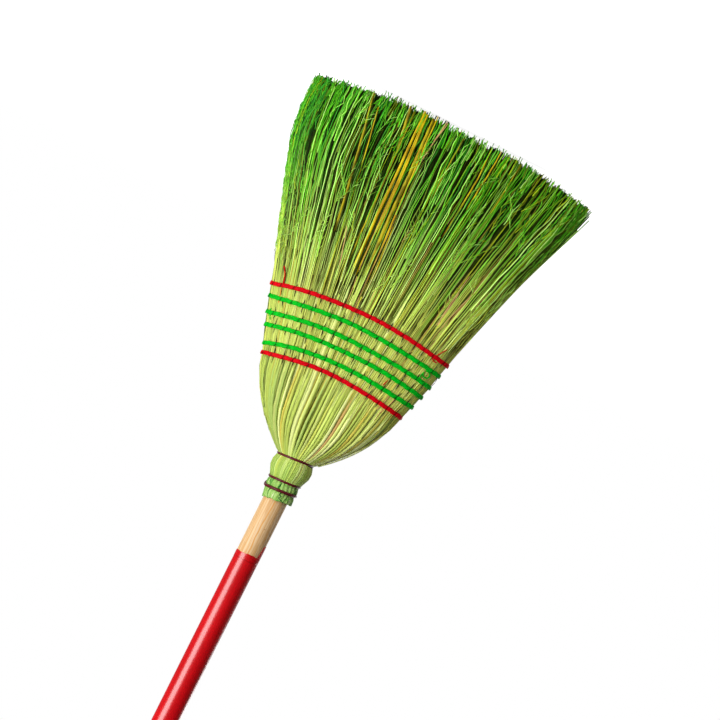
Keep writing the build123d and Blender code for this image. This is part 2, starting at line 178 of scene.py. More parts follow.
# Sleeve: a thin skin of glossy red plastic shrunk over the stick and its rounded end.
# A last turn of the skin overlaps its lower edge; it is cut by eye, and a flap of it runs on down the wood.
sleeve_red, shader, place = finish(
    "sleeve_red", Specular_IOR_Level=0.0, Coat_Weight=1.0, Coat_Roughness=0.26, Coat_IOR=1.75)
long_marks = place.stretch(1.0, 1.0, 0.12)
mottle = long_marks.noise(160.0, 3.0)
skin = mottle.rise(0.3, 0.72).choose(hue(218, 2, 16), hue(202, 0, 8))
# Painted shadow: a thin dark line round the lap, under the overlapping edge of the skin.
lap_shadow = 1.0 - abs(place.axis(2) - 0.4827).rise(0.0002, 0.0007)
skin = (lap_shadow * 0.35).choose(skin, hue(120, 0, 6))
rubs = long_marks.noise(700.0)
skin.feed(shader, "Base Color")
(rubs * 0.14 + 0.24).feed(shader, "Roughness")
bumped(place, mottle, 0.0003, shader)
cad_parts["handle_sleeve"].material_slots[0].material = sleeve_red


def tube_mesh(name, rings, material, paint=None, ringed=False):
    """Object of closed tubes: rings is (tubes, rings along, corners round, 3) in millimetres.

    Quads join each ring to the next; the ends get caps, or with ringed the last ring joins the first.
    paint gives each corner a place in the colour map, with one more column, and one more row with ringed.
    """
    tubes, count, corners = rings.shape[:3]
    index = np.arange(tubes * count * corners).reshape(tubes, count, corners)
    beside = np.roll(index, -1, axis=2)
    ahead = np.roll(index, -1, axis=1)
    beside_ahead = np.roll(beside, -1, axis=1)
    last = count if ringed else count - 1
    quads = np.stack([index, ahead, beside_ahead, beside], axis=-1)[:, :last].reshape(-1, 4)
    loops = [quads.ravel()]
    starts = [np.arange(len(quads)) * 4]
    if not ringed:
        loops += [index[:, 0].ravel(), index[:, -1, ::-1].ravel()]
        starts.append(quads.size + np.arange(2 * tubes) * corners)
    loops = np.concatenate(loops)
    starts = np.concatenate(starts)
    mesh = bpy.data.meshes.new(name)
    mesh.vertices.add(index.size)
    mesh.vertices.foreach_set("co", (rings.reshape(-1, 3) * 0.001).astype(np.float32).ravel())
    mesh.loops.add(len(loops))
    mesh.loops.foreach_set("vertex_index", loops.astype(np.int32))
    mesh.polygons.add(len(starts))
    mesh.polygons.foreach_set("loop_start", starts.astype(np.int32))
    mesh.polygons.foreach_set("use_smooth", np.ones(len(starts), bool))
    if paint is not None:
        near = paint[:, :, :-1]
        far = paint[:, :, 1:]
        spots = [np.stack([near[:, :-1], near[:, 1:], far[:, 1:], far[:, :-1]], axis=-2).reshape(-1, 2)]
        if not ringed:
            spots += [near[:, 0].reshape(-1, 2), near[:, -1, ::-1].reshape(-1, 2)]
        spots = np.concatenate(spots).astype(np.float32)
        mesh.uv_layers.new(name="OFBake").data.foreach_set("uv", spots.ravel())
    mesh.update(calc_edges=True)
    mesh.materials.append(material)
    piece = bpy.data.objects.new(name, mesh)
    bpy.context.scene.collection.objects.link(piece)
    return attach(piece, "root")


def ease(value, low, high):
    """Smooth step of an array from 0 at low to 1 at high."""
    share = np.clip((value - low) / (high - low), 0, 1)
    return share * share * (3 - 2 * share)


cut_height, lap_height, flap_length = 476.1, 482.6, 12.8
outer_radius, inner_radius, lip = 13.0, 12.56, 0.06
turn = np.linspace(0, 2 * np.pi, 180, endpoint=False)
flap = ease(turn, 3.88, 3.56) * ease(turn, 1.7, 2.3)
cut = cut_height + 0.7 * np.cos(turn) + 0.30 * np.sin(5 * turn + 1) + 0.22 * np.sin(13 * turn)
cut = cut - flap_length * flap
lap = lap_height + 0.25 * np.sin(3 * turn)
rise = np.array((0, 0.02, 0.2, 0.5, 0.8, 0.98, 1.0))[:, None]
height = cut + (lap - cut) * rise
round_it = np.stack([np.cos(turn), np.sin(turn)], axis=-1)
skin = outer_radius - lip * (rise > 0.99) + 0 * turn
outer = np.concatenate([skin[..., None] * round_it, height[..., None]], axis=-1)
inner = np.concatenate([inner_radius * round_it + 0 * skin[::-1, :, None], height[::-1, :, None]], axis=-1)
sleeve_edge = tube_mesh("sleeve_edge", np.concatenate([outer, inner])[None, :, ::-1], sleeve_red, ringed=True)

# Inner bundle: straight corn packed round the handle's point and wired to it, the middle of the head.
# Its straws are seen only between the others and at the sweeping edge, and their dark, close colour is
# painted shade; the packed core under them is a dark surface painted as the shade inside the head.


def bell(value, middle, width):
    """Bell curve of an array: 1 at the middle, 1/e at the width to each side."""
    return np.exp(-(((value - middle) / width) ** 2))


def unit(vectors):
    """Vectors of length 1 that point the same ways."""
    return vectors / np.linalg.norm(vectors, axis=-1, keepdims=True)


def down_shoulder(height):
    """Share of the way down the shoulder: 0 at the throat and above, 1 at the top of the belt and below."""
    return np.clip((371.5 - height) / 75.5, 0, 1)


def neck(height):
    """Radius of the round neck: a cone with a half sine for the bulb, drawn in where the throat wire lies."""
    bulb = np.clip((394.5 - height) / 23.0, 0, 1)
    return 16.3 + 2.7 * bulb + 3.95 * np.sin(np.pi * bulb) - 0.9 * bell(height, 371.4, 1.8)


def reach(height, side):
    """Half width of the head on one side in millimetres, by height above the sweeping edge.

    To the neck the shoulder adds a straight flare and a power curve that rounds off. Below it straight runs,
    their bends rounded by a running mean, spread to the tips: fuller on the +X side, where they turn in again
    at the end, and straighter on the -X side. A bell curve draws the edge in at the first sewn row.
    """
    share = down_shoulder(height)
    shoulder = (22.65 + 1.5 * side) * share + 32.95 * (1 - (1 - share) ** 2.25)
    near = np.asarray(height)[..., None] + np.array((-18, -9, 0, 9, 18))
    left = np.interp(near, (0, 38, 74, 126, 212, 296), (75.5, 77.2, 75.2, 58.0, 27.4, 0.0))
    right = np.interp(near, (0, 26, 74, 116, 212, 254, 296), (80.4, 76.2, 61.9, 48.6, 21.4, 12.8, 0.0))
    spread = np.where(side > 0, left.mean(axis=-1), right.mean(axis=-1))
    return neck(height) + shoulder + spread - 2.0 * bell(height, 289, 14)


def half_depth(height):
    """Half depth of the head: the round neck, a shoulder swollen by a half sine, then nearly level."""
    share = down_shoulder(height)
    level = np.interp(height, (0, 203, 296), (2.5, -1.0, 0.0))
    return neck(height) + 5 * share + 5 * np.sin(np.pi * share) + level


def lay(place, face, deep, height):
    """Points and outward directions of straws at shares of the head's width and depth.

    At the neck a share of the width is an angle round a circle; lower down it becomes a share of the
    breadth of a flat oval whose exponent grows from 2 to 3. deep is 1 on the surface and 0 at the middle.
    Near the throat, which is bound aslant, points sink the more the further they lie towards -X.
    """
    opened = ease(-height, -381, -301)
    across = (1 - opened) * np.sin(np.clip(place, -1, 1) * np.pi / 2) + opened * place
    side = np.where(place > 0, 1.0, -1.0)
    power = 2 + down_shoulder(height)
    rim = np.sqrt(np.clip(1 - np.abs(across) ** power, 0.012, 1))
    width = reach(height, side)
    depth = half_depth(height)
    x = width * across * ((1 - opened) * np.abs(deep) + opened)
    y = face * depth * rim * deep
    sunk = 0.045 * ease(height, 300, 365) * (17 - np.minimum(x, 17))
    points = np.stack(np.broadcast_arrays(x, y, height - sunk), axis=-1)
    outward = np.stack([x / width**2, y / depth**2 + 1e-6 * face, np.zeros_like(x)], axis=-1)
    return points, unit(outward)


def straws(points, outward, width, thickness, sides):
    """Rings of straws along paths: an ellipse of half width and half thickness square to each path."""
    along = unit(np.gradient(points, axis=1))
    across = unit(np.cross(along, outward))
    facing = np.cross(across, along)
    turn = 2 * np.pi * np.arange(sides) / sides + (np.pi / 2 if sides == 3 else np.pi / sides)
    half_width = np.broadcast_to(width, points.shape[:2])[..., None, None]
    half_thickness = np.broadcast_to(thickness, points.shape[:2])[..., None, None]
    wide = half_width * np.cos(turn)[:, None] * across[:, :, None]
    high = half_thickness * np.sin(turn)[:, None] * facing[:, :, None]
    return points[:, :, None] + wide + high


def trim(x):
    """Height of the cut at a distance from the middle: flat, then a power curve up to the corners."""
    return 4.2 + 13 * np.clip((np.abs(x) - 60) / 92, 0, 1.3) ** 1.5


row_heights = (279.0, 267.0, 252.5, 240.0, 225.0, 210.5)
left_slips = (-1.1, 3.2, -1.0, -1.0, -1.0, 1.4)
right_slips = (2.9, 6.0, 4.4, 4.0, 3.2, 1.8)
row_bow, stitch_length, steps_per_stitch = 11.5, 13, 16


def sewn_line(number):
    """Line of a sewn row round the head: points, outward directions and the number of stitches so far.

    The row is an arc of a circle that bows up towards the edges. Its left end slips by a fourth power of the
    distance from the middle and its right end drops by a square. It closes round the flat oval from the
    middle of the back and stands 1 mm off the edges. Each row starts at another part of a stitch, and a
    slow sine makes the stitches uneven.
    """
    angle = np.pi / 2 + np.linspace(0, 2 * np.pi, 721)
    across = np.sign(np.cos(angle)) * np.abs(np.cos(angle)) ** (2 / 3)
    row = row_heights[number]
    height = np.full(angle.shape, row)
    half = reach(row, 0.0)
    bow = (half**2 + row_bow**2) / (2 * row_bow)
    for _ in range(3):
        x = (reach(height, np.sign(across)) + np.abs(across) ** 12) * across
        height = row + bow - np.sqrt(bow**2 - np.clip(x, -half, half) ** 2)
        height = height + left_slips[number] * np.clip(x / half, 0, 1) ** 4
        height = height - right_slips[number] * np.clip(-x / half, 0, 1) ** 2
    points = np.stack([x, half_depth(height) * np.sin(angle), height], axis=-1)
    length = np.concatenate([[0], np.cumsum(np.linalg.norm(np.diff(points, axis=0), axis=1))])
    where = np.linspace(0, length[-1], round(length[-1] / stitch_length) * steps_per_stitch)
    points = np.stack([np.interp(where, length, points[:, i]) for i in range(3)], axis=-1)
    outward = unit(np.cross(unit(np.gradient(points, axis=0)), (0, 0, 1.0)))
    return points, outward, where / stitch_length + 0.37 * number + 0.18 * np.sin(where * 0.11 + 2 * number)


def stitches(number):
    """Places where the twine of a sewn row goes through the straw: x, y and height of each nip."""
    points, _, count = sewn_line(number)
    nips = np.arange(np.ceil(count[0] - 0.5), count[-1] - 0.5) + 0.5
    return np.stack([np.interp(nips, count, points[:, i]) for i in range(3)], axis=-1)


def gathered(place, height, face):
    """Share of the width of straws that leave the last sewn row drawn together between its stitches.

    A bell curve of the height, cut off smoothly above the row, pulls each towards its bunch's middle.
    """
    nips = stitches(len(row_heights) - 1)
    nips = nips[nips[:, 1] * face > 0]
    edges = np.sort(nips[:, 0] / reach(nips[:, 2], np.sign(nips[:, 0])))
    edges = np.concatenate([[-1.08], edges, [1.08]])
    bunch = np.clip(np.searchsorted(edges, place[:, :1]), 1, len(edges) - 1)
    middle = (edges[bunch - 1] + edges[bunch]) / 2
    squeeze = 0.12 * bell(height, 202, 24) * ease(-height, -222, -210)
    return place + (middle - place) * squeeze


def fan(rng, place, face, deep, start, size, bunches, rings=15, kink=0.75, short=0.0):
    """Three-sided straws from the sewn part to the sweeping edge: their rings and heights.

    Each keeps its share of the width but is drawn towards one of several ragged bunches at the tips. A random
    walk that grows along it and a zigzag give the kinks. Its end stops unevenly about the trimmed edge, or
    short of it, and what would stand past the sides of the head is folded back.
    """
    half_edge, usual_reach = 155, 140
    count = len(place)
    share = np.broadcast_to(np.linspace(0, 1, rings), (count, rings))
    middles = (np.arange(bunches) + rng.random(bunches)) / bunches * 2.04 - 1.02
    nearest = np.abs(place - middles).argmin(axis=1)
    pull = rng.uniform(0.0, 0.45, (count, 1))
    end = place + (middles[nearest][:, None] - place) * pull + rng.normal(0, 0.020, (count, 1))
    ragged = rng.normal(0, 1.2, bunches)[nearest][:, None] + rng.normal(0, 0.8, (count, 1)) + short
    height = start + (np.clip(trim(end * half_edge) + ragged, 0.3, None) - start) * share
    walk = np.cumsum(rng.normal(0, kink, (count, rings)) * share, axis=1)
    zigzag = rng.normal(0, 0.75 * kink, (count, rings)) * ease(share, 0.05, 0.5)
    spread = gathered(place + (end - place) * share**1.5, height, face) + (walk + zigzag) / usual_reach
    spread = np.where(np.abs(spread) > 1, np.sign(spread) * (2 - np.abs(spread)), spread)
    layer = deep + np.cumsum(rng.normal(0, 0.006, (count, rings)) * share, axis=1)
    points, outward = lay(spread, face, np.clip(layer, -1.06, 1.06), height)
    width = rng.uniform(*size, (count, 1)) * (1 - 0.25 * share**2)
    return straws(points, outward, width, width * 0.95, 3), height


# The four layers are levels of painted shade by depth: deep shade, shade, dull or half shade, and lit.
map_height, kind_count, layer_count = 420, 16, 4
deep_shade, shaded, dull_or_half_shade, lit = range(layer_count)


def colour_map(height, sides, kind, layer):
    """Places in the colour map: along the straw by height, across by its kind within its layer of painted
    shade.
    """
    along = np.broadcast_to(1 - height[..., None] / map_height, (*height.shape, sides + 1))
    row = np.reshape(kind_count * np.asarray(layer) + kind, (-1, 1, 1))
    across = (row + 0.5 + np.linspace(-0.3, 0.3, sides + 1)) / (kind_count * layer_count)
    return np.stack(np.broadcast_arrays(along, across), axis=-1)


def dye_kinds(rng, place):
    """Random kinds of dyed straw: deeper greens towards the left edge, partly the dye and partly painted
    shade on the brightly lit left side; olives on the right, any between.
    """
    kind = rng.integers(0, kind_count, len(place))
    left = np.array((0, 1, 2, 3, 4, 5, 6, 7, 8, 10, 12, 13, 12, 13, 14, 4))
    right = np.array((3, 4, 5, 8, 9, 6, 10, 14, 0, 3, 8, 9, 12, 14, 15, 7))
    edge = np.array((0, 1, 3, 4, 5, 3, 4, 5, 8, 9, 12, 13, 12, 13, 14, 3))
    kind = np.where(place[:, 0] > 0.6, left[kind], np.where(place[:, 0] < -0.3, right[kind], kind))
    return np.where(place[:, 0] > 0.88, edge[kind], kind)


corn, shader, place = finish("dyed_corn", Specular_IOR_Level=0.1)
spot = place.node("UVMap", {"uv_map": "OFBake"})
along = spot.axis(0)
row = spot.axis(1)
kind = (row * layer_count).fraction()
chance = (row * (kind_count * layer_count)).chance()
flecks = spot.stretch(60.0, 64.0, 1.0).noise()
stem = kind.node("ValToRGB", {"steps": "CONSTANT", "stops": (
    (0.00, hue(198, 216, 106)), (0.18, hue(182, 200, 90)), (0.37, hue(208, 220, 122)),
    (0.50, hue(198, 206, 92)), (0.62, hue(216, 224, 142)), (0.75, hue(176, 200, 102)),
    (0.87, hue(190, 178, 74)), (0.94, hue(204, 166, 98)))}, {"Fac": kind})
tip = kind.node("ValToRGB", {"steps": "CONSTANT", "stops": (
    (0.00, hue(106, 200, 44)), (0.18, hue(84, 184, 28)), (0.37, hue(156, 220, 88)),
    (0.50, hue(126, 190, 36)), (0.62, hue(180, 224, 116)), (0.75, hue(76, 198, 58)),
    (0.87, hue(146, 166, 26)), (0.94, hue(134, 138, 32)))}, {"Fac": kind})
# Painted shade by depth: each layer of straws is darker the deeper it lies, from 0.05 for deep shade to 1 for
# lit.
depth = row.node("ValToRGB", {"steps": "CONSTANT", "stops": (
    (0.00, (0.05, 0.04, 0.01, 1.0)), (0.25, (0.12, 0.11, 0.05, 1.0)), (0.50, (0.70, 0.71, 0.64, 1.0)),
    (0.75, (1.0, 1.0, 1.0, 1.0)))}, {"Fac": row})
stem = ((1.0 - along.rise(0.06, 0.16)) * 0.6).choose(stem, hue(160, 200, 88))
dye = (along + chance * 0.24 - 0.12 + flecks * 0.16 - 0.08).rise(0.46, 0.86)
belt = along.rise(0.27, 0.36) * (1.0 - along.rise(0.47, 0.53))
stem = (belt * 0.30).choose(stem, hue(214, 216, 104))
# The painted depth shade is lightened from about 230 mm up, and more in the belt.
depth = (belt * 0.40 + (1.0 - along.rise(0.45, 0.53)) * 0.4).choose(depth, (1.0, 1.0, 1.0, 1.0))
tips = along.rise(0.66, 0.85)
uneven = along.rise(0.47, 0.60) * 0.66 + tips * 0.45 + 0.28 - belt * 0.04
level = (chance - 0.5) * uneven + flecks * 0.44 + 0.88
level = level + along.rise(0.14, 0.26) * 0.10 + along.rise(0.47, 0.56) * 0.54 - tips * 0.22 + belt * 0.03
dye.choose(stem, tip).times(depth).times(level).feed(shader, "Base Color")
(flecks * 0.25 + 0.38).feed(shader, "Roughness")

# Painted shade: a near-black surface for the inside of the head, seen through the gaps between the straws.
core_shade, shader, place = finish("core_shade", Roughness=0.9)
streak = place.stretch(1.0, 1.0, 0.05).noise(500.0)
streak.rise(0.3, 0.7).choose(hue(16, 20, 3), hue(44, 38, 10)).feed(shader, "Base Color")
bumped(place, streak, 0.001, shader)

height = np.linspace(393, 50, 42)[:, None]
angle = np.linspace(0, 2 * np.pi, 72, endpoint=False)
across = np.sign(np.cos(angle)) * np.abs(np.cos(angle)) ** (2 / (2 + down_shoulder(height)))
inset = 3.2 + 1.6 * down_shoulder(height)
wide = reach(height, np.sign(across)) - inset - 5 * np.clip((200 - height) / 140, 0, 1)
deep = half_depth(height) - inset
core = np.stack(np.broadcast_arrays(wide * across, deep * np.sin(angle), height), axis=-1)
packed_core = tube_mesh("packed_core", core[None, :, ::-1], core_shade)
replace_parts(packed_core, "inner_bundle")

rng = np.random.default_rng(3)
count = 1900
place = rng.uniform(-1, 1, (count, 1))
deep = rng.uniform(-0.88, 0.88, (count, 1))
start = rng.uniform(110, 205, (count, 1))
rings, height = fan(rng, place, -1.0, deep, start, (0.6, 0.95), 60, 9, short=5.0)
layer = np.where(np.abs(deep[:, 0]) > 0.6, deep_shade, shaded)
paint = colour_map(height, 3, dye_kinds(rng, place), layer)
inner_straws = tube_mesh("inner_straws", rings, corn, paint)

# Shoulder bundles: corn folded in over the inner bundle on each side, which builds the shoulders and edges.
# The outermost straws are loose, fine curls stand out along the edges, and a few straws laid along each
# side of the shoulders close the gap between the two covers.


def dyed_up(height, side):
    """Height that a straw takes its colour from: at the left edge the dye went 22 mm further up the corn."""
    return height - max(side, 0) * 22 * np.clip((215 - height) / 40, 0, 1)


facing_front = (0.0, -1.0, 0.0)
for side, name, surface, curl_count, widest_curl, curl_stand in (
        (1, "left", 0.975, 340, 2.2, 0.4), (-1, "right", 0.955, 200, 1.0, 0.0)):
    rng = np.random.default_rng(10 + side)
    count = 900
    place = side * (0.995 - 0.30 * rng.uniform(0, 1, (count, 1)) ** 1.6)
    deep = rng.uniform(-1.0, 1.0, (count, 1))
    at_edge = np.abs(place) > 0.965
    start = np.where(at_edge, rng.uniform(295, 368, (count, 1)), rng.uniform(205, 355, (count, 1)))
    near = np.maximum(np.abs(deep), np.abs(place) - 0.02)
    rings, height = fan(rng, place, -1.0, deep, start, (0.55, 0.85), 70, short=np.where(near > surface, 0, 5))
    layer = rng.choice((shaded, lit, lit, lit), near.shape)
    layer = np.where(near > surface, layer, np.where(near > surface - 0.06, shaded, deep_shade))
    layer = np.where(np.abs(place) > 0.982, lit, layer)[:, 0]
    paint = colour_map(dyed_up(height, side), 3, dye_kinds(rng, place), layer)
    shoulder_straws = tube_mesh(f"{name}_shoulder_straws", rings, corn, paint)
    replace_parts(shoulder_straws, f"{name}_shoulder_bundle")

    each = (curl_count, 1)
    share = np.broadcast_to(np.linspace(0, 1, 8), (curl_count, 8))
    start = rng.uniform(24, 200, each)
    low = np.maximum(start - rng.uniform(12, 34, each), trim(reach(start, side)) + 1)
    height = start + (low - start) * share
    place = side * (1.0 - 0.16 * rng.random(each) ** 3) + 0 * share
    deep = np.sign(rng.normal(0, 1, each)) * rng.uniform(0.98, 1.03, each)
    points, _ = lay(place, -1.0, deep, height)
    phase = rng.uniform(0, 2 * np.pi, (2, *each))
    curl = rng.uniform(0.3, widest_curl, each) * np.sin(rng.uniform(5, 14, each) * share + phase[0])
    points[..., 0] += curl + curl_stand
    points[..., 1] += rng.uniform(0.3, 1.2, each) * np.sin(rng.uniform(3, 9, each) * share + phase[1])
    width = rng.uniform(0.28, 0.48, each) * (1 - 0.4 * share)
    rings = straws(points, facing_front, width, width, 3)
    kinds = dye_kinds(rng, place)
    layer = rng.choice((dull_or_half_shade, lit, lit, lit), curl_count)
    paint = colour_map(dyed_up(height, side), 3, kinds, layer)
    curls = tube_mesh(f"{name}_edge_curls", rings, corn, paint)

    count = 7
    height = np.broadcast_to(np.linspace(367, 258, 14), (count, 14))
    aside = np.linspace(-4.2, 4.2, count)[:, None] * (1 + 0.04 * rng.normal(0, 1, height.shape))
    points = np.stack([side * (reach(height, side) - 1.0 - aside**2 / 34), aside, height], axis=-1)
    width = 0.95 * (1 - 0.5 * ease(-height, -280, -258))
    rings = straws(points, (side, 0.0, 0.0), width, width * 0.7, 3)
    kinds = dye_kinds(rng, np.full((count, 1), side))
    side_straws = tube_mesh(f"{name}_side_straws", rings, corn, colour_map(height, 3, kinds, lit))

rng = np.random.default_rng(15)
start = np.array((158, 150, 146, 120, 112, 90, 70, 204, 190))[:, None]
end = np.array((22, 26, 17, 16, 40, 20, 19, 62, 78))[:, None]
stand = np.array((4.0, 6.5, 3.0, 1.5, 4.2, 2.5, 1.0, 1.6, 0.9))[:, None]
count = len(start)
share = np.broadcast_to(np.linspace(0, 1, 10), (count, 10))
height = start + (end - start) * share
place = -1 - (stand * share**2 + 0.4) / reach(height, -1)
points, _ = lay(place, -1.0, rng.uniform(-0.8, 0.8, (count, 1)), height)
width = rng.uniform(0.7, 0.9, (count, 1)) * (1 - 0.3 * share)
rings = straws(points, facing_front, width, width, 3)
paint = colour_map(height, 3, rng.integers(0, 12, count), rng.integers(shaded, lit, count))
strays = tube_mesh("right_stray_straws", rings, corn, paint)

# Covers: the best long stalks, laid over both faces from the neck down, stripped to bare reeds at the
# butt and splitting into fine branches towards the tips, with small feathery sprigs left on some of them.
for face, name in ((-1.0, "front"), (1.0, "back")):
    rng = np.random.default_rng(20 + int(face))
    bends = np.array((
        397, 391, 385, 379, 374.2, 371.4, 368.4, 362, 354, 344, 332, 318, 303, 287, 268, 240, 205.0))
    # A layer is how many straws it has, its share of the depth, and half a straw's width and thickness.
    for label, layers, sides in (
            ("stalks", ((34, 1.0, 1.6, 1.15),), 6),
            ("reeds", ((40, 0.95, 1.6, 0.9), (66, 0.90, 1.5, 0.9), (130, 0.86, 1.4, 0.8)), 3)):
        counts = [layer[0] for layer in layers]
        place = [(np.arange(many) + 0.5 + rng.uniform(-0.4, 0.4, many)) / many * 2 - 1 for many in counts]
        place = np.concatenate(place)[:, None]
        sizes = np.repeat(np.array(layers)[:, 1:], counts, axis=0)
        seat, wide, thick = (column[:, None] for column in sizes.T)
        seat = seat + rng.uniform(-0.02, 0.0, place.shape)
        wide = wide * rng.uniform(0.7, 1.3, place.shape)
        count = len(place)
        stop = rng.uniform(80, 200, (count, 1))
        share = np.broadcast_to(np.linspace(0, 1, 20), (count, 20))
        height = np.concatenate([bends + 0 * place, 205 + (stop - 205) * np.array((0.33, 0.66, 1.0))], axis=1)
        fall = np.clip((371 - height) / 90, 0, 1)
        sink = 0.04 * np.clip((190 - height) / 190, 0, 1)
        deep = seat * (1 - fall) + fall * rng.uniform(0.97, 1.0, (count, 1)) - sink
        deep = deep - thick / half_depth(height) * (1 - 0.6 * fall)
        drift = np.cumsum(rng.normal(0, 0.004, (count, 20)) * share, axis=1)
        spread = gathered(place + fall * rng.normal(0, 0.008, (count, 1)), height, face) + drift
        points, outward = lay(spread, face, deep, height)
        taper = 1 - 0.08 * fall - 0.60 * np.clip((218 - height) / 44, 0, 1)
        taper[:, -2:] *= (0.75, 0.15)
        pressed = 1 - 0.65 * fall * ease(height, 185, 215)
        rings = straws(points, outward, wide * taper, thick * taper * pressed, sides)
        # A random share of straws are dull; all straws at the left end of the belt take the half-shade level
        # as painted shade.
        dull_or_shaded = (rng.random(count) < np.where(place[:, 0] < -0.35, 0.15, 0.25)) | (place[:, 0] > 0.6)
        last_seen = np.where(rng.random(count) < 0.5, counts[0], sum(counts[:2]))
        layer = np.where(np.arange(count) > last_seen, shaded, np.where(dull_or_shaded, dull_or_half_shade, lit))
        paint = colour_map(height, sides, dye_kinds(rng, place), layer)
        stalks = tube_mesh(f"{name}_{label}", rings, corn, paint)
        if label == "stalks":
            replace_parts(stalks, f"{name}_cover")

    count = 1200
    order = np.arange(count)[:, None]
    place = 1 - 2 * ((order + rng.random((count, 1))) / count) ** 1.2
    top = order % 8 == 0
    deep = np.where(top, rng.uniform(0.95, 1.0, (count, 1)), rng.uniform(0.86, 0.94, (count, 1)))
    start = np.where(top, rng.uniform(170, 310, (count, 1)), rng.uniform(140, 232, (count, 1)))
    kink = 0.45 + 0.4 * np.clip(place, 0, 1)
    rings, height = fan(rng, place, face, deep, start, (0.42, 0.62), 110, 18, kink, np.where(top, 0, 3))
    seen = rng.integers(dull_or_half_shade, layer_count, count)
    layer = np.where(top[:, 0], seen, rng.choice((deep_shade, deep_shade, deep_shade, shaded), count))
    branches = tube_mesh(f"{name}_branches", rings, corn, colour_map(height, 3, dye_kinds(rng, place), layer))

    count = 200
    place = 1 - 2 * ((rng.permutation(count)[:, None] + rng.random((count, 1))) / count) ** 1.1
    deep = rng.uniform(0.95, 1.02, (count, 1))
    long = rng.random((count, 1)) < 0.4
    start = np.where(long, rng.uniform(50, 165, (count, 1)), rng.uniform(18, 34, (count, 1)))
    rings, height = fan(rng, place, face, deep, start, (0.60, 0.85), 110, 12, np.where(long, 1.0, 0.22))
    layer = rng.integers(dull_or_half_shade, layer_count, count)
    ends = tube_mesh(f"{name}_split_ends", rings, corn, colour_map(height, 3, dye_kinds(rng, place), layer))

    sprig_count, hair_count = 48, 8
    start, place, lean, length = (np.repeat(value, hair_count)[:, None] for value in (
        rng.uniform(35, 190, sprig_count), rng.uniform(-0.97, 0.97, sprig_count),
        rng.normal(0, 0.32, sprig_count), rng.uniform(22, 48, sprig_count)))
    length = np.minimum(length, start - 18)
    order = np.tile(np.arange(hair_count), sprig_count)[:, None]
    main = order == 0
    count = len(order)
    share = np.broadcast_to(np.linspace(0, 1, 7), (count, 7))
    root = length * order / 9
    fork = np.where(order % 2 == 0, 0.5, -0.5) * rng.uniform(0.5, 1.3, (count, 1))
    angle = lean + np.where(main, 0.0, fork)
    hair = np.where(main, length, rng.uniform(4, 11, (count, 1)))
    wave = np.sin(rng.uniform(2, 7, (count, 1)) * share + rng.uniform(0, 6, (count, 1)))
    curl = np.where(main, 1.4, 0.5) * share * wave
    height = start - root * np.cos(lean) - hair * share * np.cos(angle)
    aside = root * np.sin(lean) + hair * share * np.sin(angle) + curl
    spread = np.clip(place + aside / reach(height, np.sign(place)), -1, 1)
    deep = 1.02 + 0.03 * root / length + 0.03 * share
    points, outward = lay(spread, face, deep, height)
    width = np.where(main, 0.42, 0.30) * (1 - 0.4 * share)
    rings = straws(points, outward, width, width, 3)
    sprigs = tube_mesh(f"{name}_sprigs", rings, corn, colour_map(height, 3, dye_kinds(rng, place), lit))

# Unsplit straws: a few flat ones that took the dye badly and stayed gold, most of them left of the middle.
# They lie on top of the front face, and the first twelve have dark straws along both sides, painted shade
# that sets them off from the corn beside them.
gold_straw, shader, place = finish("gold_straw", Roughness=0.42, Specular_IOR_Level=0.2)
spot = place.node("UVMap", {"uv_map": "OFBake"})
flecks = spot.stretch(24.0, 260.0, 1.0).noise()
kind = (spot.axis(1) * layer_count).fraction()
light = kind.node("ValToRGB", {"steps": "CONSTANT", "stops": (
    (0.0, hue(242, 214, 14)), (0.25, hue(196, 178, 10)),
    (0.5, hue(236, 196, 124)), (0.75, hue(230, 160, 40)))}, {"Fac": kind})
shade = kind.node("ValToRGB", {"steps": "CONSTANT", "stops": (
    (0.0, hue(192, 152, 2)), (0.25, hue(126, 112, 6)),
    (0.5, hue(216, 168, 102)), (0.75, hue(196, 112, 16)))}, {"Fac": kind})
flecks.rise(0.36, 0.58).choose(shade, light).feed(shader, "Base Color")

# Each has its x at the top, half way and at the end, its top's and end's height, half its width and a colour.
gold, olive, tan, orange = 1, 5, 9, 13
straw_list = np.array((
    (67, 79, 92, 150, 9, 1.4, olive), (69, 76, 84, 96, 20, 0.7, gold), (47, 51, 54, 52, 5, 2.0, olive),
    (32.8, 37.6, 40.6, 204, 3, 1.8, gold), (28.6, 32.7, 38, 180, 12, 1.0, gold),
    (19.5, 23.2, 27, 198, 6, 2.3, olive), (15.5, 20.8, 26.4, 196, 2, 1.1, gold),
    (23.2, 20.4, 15, 98, 2, 0.8, tan), (20, 18.5, 13.5, 58, 4, 0.6, tan),
    (-31, -35.5, -37, 108, 6, 0.9, gold), (-41, -43.5, -45.5, 72, 5, 0.9, gold),
    (-5, -6, -8.5, 88, 10, 0.8, olive), (-60, -66, -71, 92, 8, 0.8, olive),
    (-66, -67, -72, 203, 130, 0.6, tan), (-68, -73.6, -82, 205, 146, 0.6, tan),
    (-64, -69, -72, 196, 150, 0.5, tan), (-49, -57, -62, 302, 272, 0.6, tan),
    (-46, -53, -57, 298, 268, 0.5, tan), (84.9, 87.0, 89.8, 243, 221, 0.9, orange),
    (44, 50, 58, 196, 140, 0.6, tan), (12, 13, 16, 202, 120, 0.6, gold),
    (25, 29, 33.4, 190, 5, 1.3, gold), (23, 26, 29.6, 150, 9, 1.0, gold), (41, 45, 48.6, 168, 8, 0.9, olive)))
high, middle, low, top, bottom, wide, kind = (column[:, None] for column in straw_list.T)
rng = np.random.default_rng(31)
share = np.broadcast_to(np.linspace(0, 1, 13), (len(straw_list), 13))
height = top + (bottom - top) * share
x = high * (1 - share) * (1 - 2 * share) + middle * 4 * share * (1 - share) + low * share * (2 * share - 1)
x = x + np.cumsum(rng.normal(0, 0.25, share.shape), axis=1)
